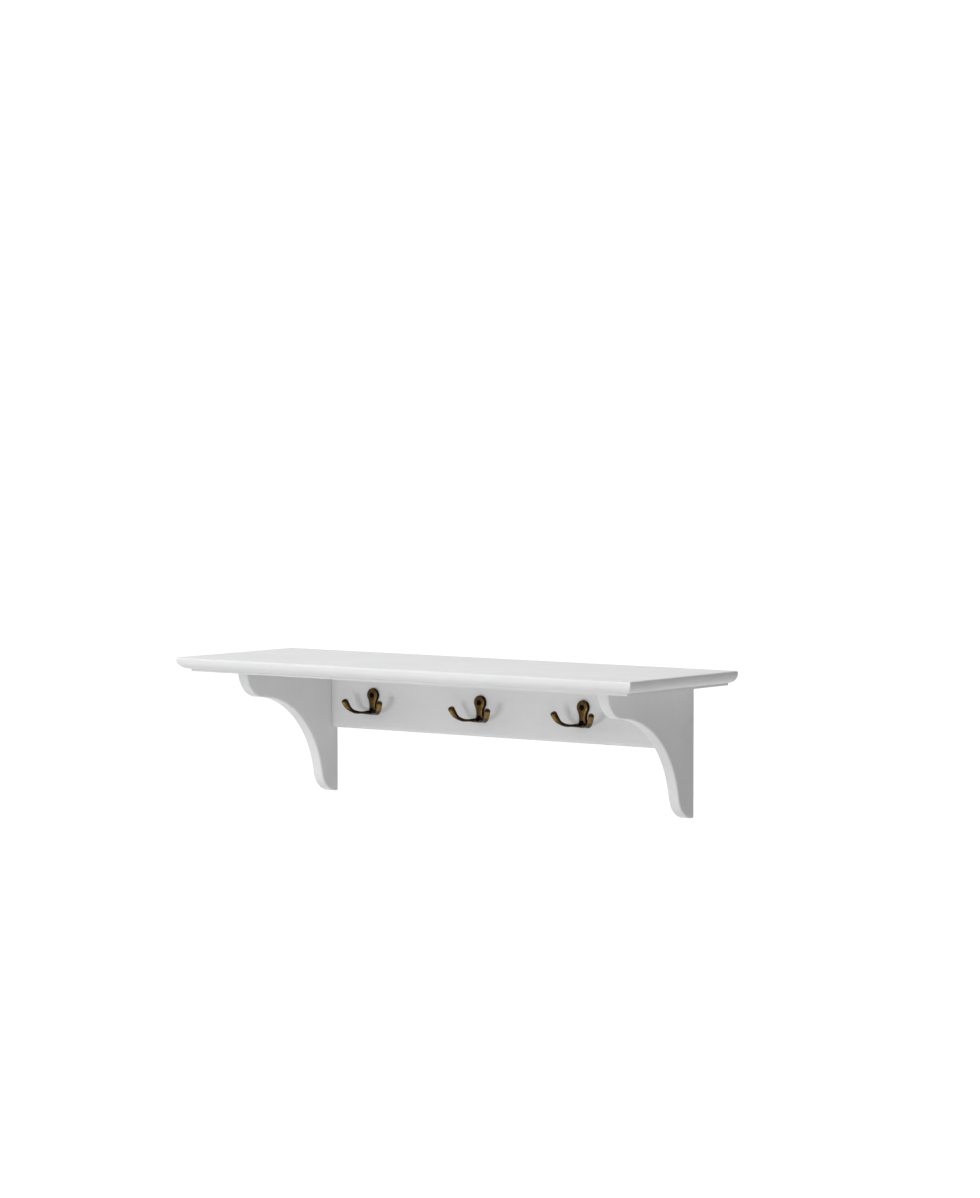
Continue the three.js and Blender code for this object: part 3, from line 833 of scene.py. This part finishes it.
def screw_radius(distance, angle, length):
    """Radius of a threaded shank: a single thread that runs out at the tip."""
    turns = distance / THREAD_PITCH - angle / (2 * math.pi)
    ridge = 1 - abs(2 * (turns % 1) - 1)
    tip = min(1, (length - distance) / SCREW_TIP)
    start = smoothstep(distance, THREAD_START, THREAD_FULL)
    core = SCREW_SHANK_RADIUS - THREAD_DEPTH * start
    return tip * (core + THREAD_DEPTH * start * ridge)


def screw_ring(mesh, distance, radii):
    """A ring of points round the Z axis, with a radius for each angle."""
    ring = []
    for angle, radius in zip(SCREW_ANGLES, radii):
        ring.append(mesh.verts.new((radius * math.cos(angle), radius * math.sin(angle), distance)))
    return ring


def add_screw(mesh, length, dome):
    """A countersunk wood screw that points along +Z, with the rim of its head at z = 0."""
    dome_steps = 6
    dome_radius = SCREW_HEAD_RADIUS * 0.96
    profile = []
    for i in range(1, dome_steps + 1):
        share = i / dome_steps
        profile.append((dome_radius * share, -dome * (1 - share**2) - SCREW_RIM))
    profile.append((SCREW_HEAD_RADIUS, -SCREW_RIM * 0.3))
    profile.append((SCREW_HEAD_RADIUS, SCREW_RIM))
    profile.append((SCREW_SHANK_RADIUS, SCREW_HEAD_DEPTH))
    rings = [[mesh.verts.new((0, 0, -dome - SCREW_RIM))]]
    for radius, distance in profile:
        rings.append(screw_ring(mesh, distance, [radius] * len(SCREW_ANGLES)))
    steps = int((length - SCREW_HEAD_DEPTH) / (THREAD_PITCH / 8))
    for i in range(1, steps):
        distance = lerp(SCREW_HEAD_DEPTH, length, i / steps)
        radii = [screw_radius(distance, angle, length) for angle in SCREW_ANGLES]
        rings.append(screw_ring(mesh, distance, radii))
    rings.append([mesh.verts.new((0, 0, length))])
    join_rings(mesh, rings)


# Half the length, half the width and the depth of the cross recess, from above the head to its floor.
CROSS_SECTIONS = [
    (0.0018, 0.00045, -0.001),
    (0.0015, 0.0004, 0),
    (0.0006, 0.0002, 0.0011),
]


def cross_recess():
    """A tapered cross, the shape of the driver's tip."""
    mesh = bmesh.new()
    for turn in (0, math.pi / 2):
        rings = []
        for half, slim, z in CROSS_SECTIONS:
            corners = [(-half, -slim), (half, -slim), (half, slim), (-half, slim)]
            rings.append([Matrix.Rotation(turn, 3, "Z") @ Vector((x, y, z)) for x, y in corners])
        add_loft(mesh, rings)
    return mesh


def make_screw(node, dome, direction, sunk, turn, material):
    """A screw in the place of its CAD node, with its head `sunk` below the node's rim."""
    low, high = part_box(node)
    centre = (low + high) / 2
    length = high.y - low.y - dome
    mesh = bmesh.new()
    add_screw(mesh, length, dome)
    name = node.replace("_hook_screw", "_cross_screw").replace("plate_screw", "cross_screw")
    screw = new_object(name, mesh)
    cut(screw, cross_recess())
    rim_y = low.y + dome if direction.y > 0 else high.y - dome
    place = Matrix.Translation(Vector((centre.x, rim_y, centre.z)) + direction * sunk)
    aim = Z_AXIS.rotation_difference(direction).to_matrix().to_4x4()
    screw.data.transform(place @ aim @ Matrix.Rotation(turn, 4, "Z"))
    shade(screw, 35)
    return add_piece(screw, material, [node])


HOOK_SCREW_DOME = 0.0005
HOOK_SCREW_SUNK = 0.0005


def make_hooks(material, dark_shaded_material):
    shape = make_hook_shape()
    for number, side in enumerate(("left", "middle", "right")):
        back_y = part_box(f"{side}_hook")[1].y
        screw_low, screw_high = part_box(f"{side}_hook_screw_upper")
        screw_centre = (screw_low + screw_high) / 2
        data = shape.data.copy()
        data.transform(Matrix.Translation((screw_centre.x, back_y, screw_centre.z)))
        hook = bpy.data.objects.new(f"{side}_double_hook", data)
        bpy.context.scene.collection.objects.link(hook)
        add_piece(hook, material, [f"{side}_hook"])
        # The screws take the darker brass, which paints the shade of their countersinks over their own
        # oxide.
        for place, turn in (("upper", 0.3 + number), ("lower", 1.1 - 0.7 * number)):
            node = f"{side}_hook_screw_{place}"
            make_screw(node, HOOK_SCREW_DOME, Y_AXIS, HOOK_SCREW_SUNK, turn, dark_shaded_material)
    unused = shape.data
    bpy.data.objects.remove(shape)
    bpy.data.meshes.remove(unused)


# ---- Hanger plates ----


def make_hanger(side, material):
    node = f"{side}_hanger_plate"
    low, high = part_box(node)
    centre = (low + high) / 2
    mesh = bmesh.new()
    add_prism(mesh, upright(hanger_outline(node, 0), low.y), Y_AXIS * (high.y - low.y))
    plate = new_object(f"{side}_keyhole_plate", mesh)
    slot_angle = math.acos(HANGER_SLOT_RADIUS / HANGER_HOLE_RADIUS)
    keyhole = arc((centre.x, centre.z + HANGER_SLOT_RISE), HANGER_SLOT_RADIUS, 0, math.pi, 16)
    hole_centre = (centre.x, centre.z - HANGER_HOLE_DROP)
    keyhole += arc(hole_centre, HANGER_HOLE_RADIUS, math.pi - slot_angle, 2 * math.pi + slot_angle, 32)
    holes = bmesh.new()
    past = 0.001
    add_prism(holes, upright(keyhole, low.y - past), Y_AXIS * (high.y - low.y + 2 * past))
    wide = SCREW_HEAD_RADIUS + GAP
    narrow = SCREW_SHANK_RADIUS + GAP
    through = 2 * (high.y - low.y)
    profile = [
        (0, -past),
        (wide, -past),
        (wide, HANGER_SCREW_RIM),
        (narrow, SCREW_HEAD_DEPTH),
        (narrow, through),
        (0, through),
    ]
    for offset in (-HANGER_SCREW_OFFSET, HANGER_SCREW_OFFSET):
        add_turned(holes, profile, Vector((centre.x, high.y, centre.z + offset)), -Y_AXIS)
    cut(plate, holes)
    ease_edges(plate, HANGER_EASE, 2)
    add_piece(plate, material, [node])
    for place, turn in (("upper", 0.5), ("lower", 1.2)):
        make_screw(f"{node}_screw_{place}", 0, -Y_AXIS, 0, turn, material)


# ---- Dowels ----


def make_dowel(node, material):
    """A fluted dowel with chamfered ends, along the longest side of its CAD node."""
    low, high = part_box(node)
    centre = (low + high) / 2
    size = high - low
    axis = X_AXIS if size.x > size.z else Z_AXIS
    length = max(size.x, size.z)
    radius = min(size) / 2
    sides = 4 * DOWEL_FLUTES
    profile = [
        (radius - DOWEL_CHAMFER, -length / 2),
        (radius, DOWEL_CHAMFER - length / 2),
        (radius, length / 2 - DOWEL_CHAMFER),
        (radius - DOWEL_CHAMFER, length / 2),
    ]
    turn = Z_AXIS.rotation_difference(axis).to_matrix()
    rings = []
    for reach, along in profile:
        ring = []
        for i in range(sides):
            angle = 2 * math.pi * i / sides
            flute = DOWEL_FLUTE_DEPTH if i % 4 == 0 else 0
            edge = reach - flute
            local = Vector((edge * math.cos(angle), edge * math.sin(angle), along))
            ring.append(centre + turn @ local)
        rings.append(ring)
    mesh = bmesh.new()
    add_loft(mesh, rings)
    dowel = new_object(node.replace("_dowel", "_fluted_dowel"), mesh)
    shade(dowel, 35)
    return add_piece(dowel, material, [node])


# ---- Camera, light and floor ----


CAMERA_AIM = Vector((0.0525, -0.1, 0.1395))
CAMERA_DISTANCE = 4.9525
CAMERA_AZIMUTH = math.radians(37.06)
CAMERA_PITCH = math.radians(-3.1)
CAMERA_LENS = 121.64


def add_camera():
    level = math.cos(CAMERA_PITCH)
    forward = Vector((-math.sin(CAMERA_AZIMUTH), math.cos(CAMERA_AZIMUTH), 0)) * level
    forward.z = math.sin(CAMERA_PITCH)
    data = bpy.data.cameras.new("camera")
    data.lens = CAMERA_LENS
    data.sensor_width = 36
    camera = bpy.data.objects.new("camera", data)
    camera.location = CAMERA_AIM - forward * CAMERA_DISTANCE
    camera.rotation_euler = (math.pi / 2 + CAMERA_PITCH, 0, CAMERA_AZIMUTH)
    bpy.context.scene.collection.objects.link(camera)
    bpy.context.scene.camera = camera


# Name, azimuth, elevation, distance, size, power and spread of each light; angles in degrees.
SOFTBOXES = [
    ("key_light", -50, 25, 4.0, 2.5, 68, 180),
    ("front_light", 0, 35, 4.0, 2.5, 48, 180),
    ("top_light", -25, 80, 3.2, 1.6, 25, 180),
    ("right_fill", 45, -8, 2.2, 1.4, 1.1, 80),
    ("low_fill", -5, -16, 3.0, 1.0, 4, 80),
]


def add_softbox(name, azimuth, elevation, distance, size, power, spread):
    """A square soft light aimed at the shelf; azimuth 0 is straight in front and 90 is to the right."""
    turn = math.radians(azimuth)
    rise = math.radians(elevation)
    towards = Vector((math.sin(turn), -math.cos(turn), 0)) * math.cos(rise)
    towards.z = math.sin(rise)
    middle = (cad_low + cad_high) / 2
    data = bpy.data.lights.new(name, "AREA")
    data.size = size
    data.energy = power
    data.spread = math.radians(spread)
    light = bpy.data.objects.new(name, data)
    light.location = middle + towards * distance
    light.rotation_euler = (-towards).to_track_quat("-Z", "Y").to_euler()
    light.visible_camera = False
    bpy.context.scene.collection.objects.link(light)


BACKDROP = Vector((-0.6, 0.8, 0))  # from the object towards the bright end of the studio
SEEN_WALLS = 0.78  # the least brightness that the camera sees on the studio's walls
FLOOR_DROP = 1.0
FLOOR_SIZE = 40


def add_fade(tree, place, start, end, dim, bright):
    """A strength that rises from dim to bright between two distances towards the backdrop."""
    dot = tree.nodes.new("ShaderNodeVectorMath")
    dot.operation = "DOT_PRODUCT"
    dot.inputs[1].default_value = BACKDROP
    tree.links.new(place, dot.inputs[0])
    fade = tree.nodes.new("ShaderNodeMapRange")
    fade.interpolation_type = "SMOOTHSTEP"
    fade.inputs["From Min"].default_value = start
    fade.inputs["From Max"].default_value = end
    fade.inputs["To Min"].default_value = dim
    fade.inputs["To Max"].default_value = bright
    tree.links.new(dot.outputs["Value"], fade.inputs["Value"])
    return fade.outputs["Result"]


def add_world():
    """The studio's walls: white behind the object; round the rest they look pale, but light it less."""
    world = bpy.data.worlds.new("studio")
    world.use_nodes = True
    bpy.context.scene.world = world
    tree = world.node_tree
    place = tree.nodes.new("ShaderNodeTexCoord").outputs["Generated"]
    fade = add_fade(tree, place, start=0.2, end=0.72, dim=0.12, bright=1.05)
    seen = tree.nodes.new("ShaderNodeMath")
    seen.operation = "MULTIPLY"
    seen.inputs[1].default_value = SEEN_WALLS
    tree.links.new(tree.nodes.new("ShaderNodeLightPath").outputs["Is Camera Ray"], seen.inputs[0])
    strength = tree.nodes.new("ShaderNodeMath")
    strength.operation = "MAXIMUM"
    tree.links.new(fade, strength.inputs[0])
    tree.links.new(seen.outputs["Value"], strength.inputs[1])
    background = tree.nodes["Background"]
    background.inputs["Color"].default_value = (1, 1, 1, 1)
    tree.links.new(strength.outputs["Value"], background.inputs["Strength"])


def add_floor():
    """A pale, softly glowing floor below the shelf, whitest towards the bright end of the studio."""
    mesh = bmesh.new()
    bmesh.ops.create_grid(mesh, x_segments=8, y_segments=8, size=FLOOR_SIZE / 2)
    floor = new_object("floor", mesh)
    floor.data.transform(Matrix.Translation((0, 0, cad_low.z - FLOOR_DROP)))
    nodes = Nodes("floor_white")
    nodes.join(nodes.ramp(nodes.noise(0.5, 2), [(0.3, 0.58), (0.7, 0.6)]), nodes.shader.inputs["Base Color"])
    nodes.shader.inputs["Roughness"].default_value = 0.9
    glow = add_fade(nodes.tree, nodes.place, start=0.3, end=2.2, dim=0.17, bright=0.9)
    nodes.shader.inputs["Emission Color"].default_value = (1, 1, 1, 1)
    nodes.join(glow, nodes.shader.inputs["Emission Strength"])
    floor.data.materials.append(nodes.material)


# ---- The whole scene ----

bpy.context.scene.view_settings.view_transform = "Standard"
add_camera()
add_world()
for softbox in SOFTBOXES:
    add_softbox(*softbox)
add_floor()

paint_along = white_paint("white_paint_along", (0.04, 1, 1))
paint_upright = white_paint("white_paint_upright", (1, 1, 0.04))
brass = antique_brass("antique_brass", 0.0)
# Darker brass for the hook screws: their own oxide together with painted shade of the countersinks they sit
# in.
dark_shaded_brass = antique_brass("dark_shaded_brass", 0.05)
steel = zinc_steel("zinc_steel")
beech_along_x = beech("beech_along_x", (0.06, 1, 1))
beech_along_z = beech("beech_along_z", (1, 1, 0.06))

make_board(paint_along)
for side in ("left", "right"):
    make_bracket(side, paint_upright)
    make_hanger(side, steel)
make_rail(paint_along)
make_hooks(brass, dark_shaded_brass)
for name in sorted(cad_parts):
    if "_dowel_" in name:
        lies_along_x = "_rail_dowel_" in name and not name.startswith("top_")
        make_dowel(name, beech_along_x if lies_along_x else beech_along_z)
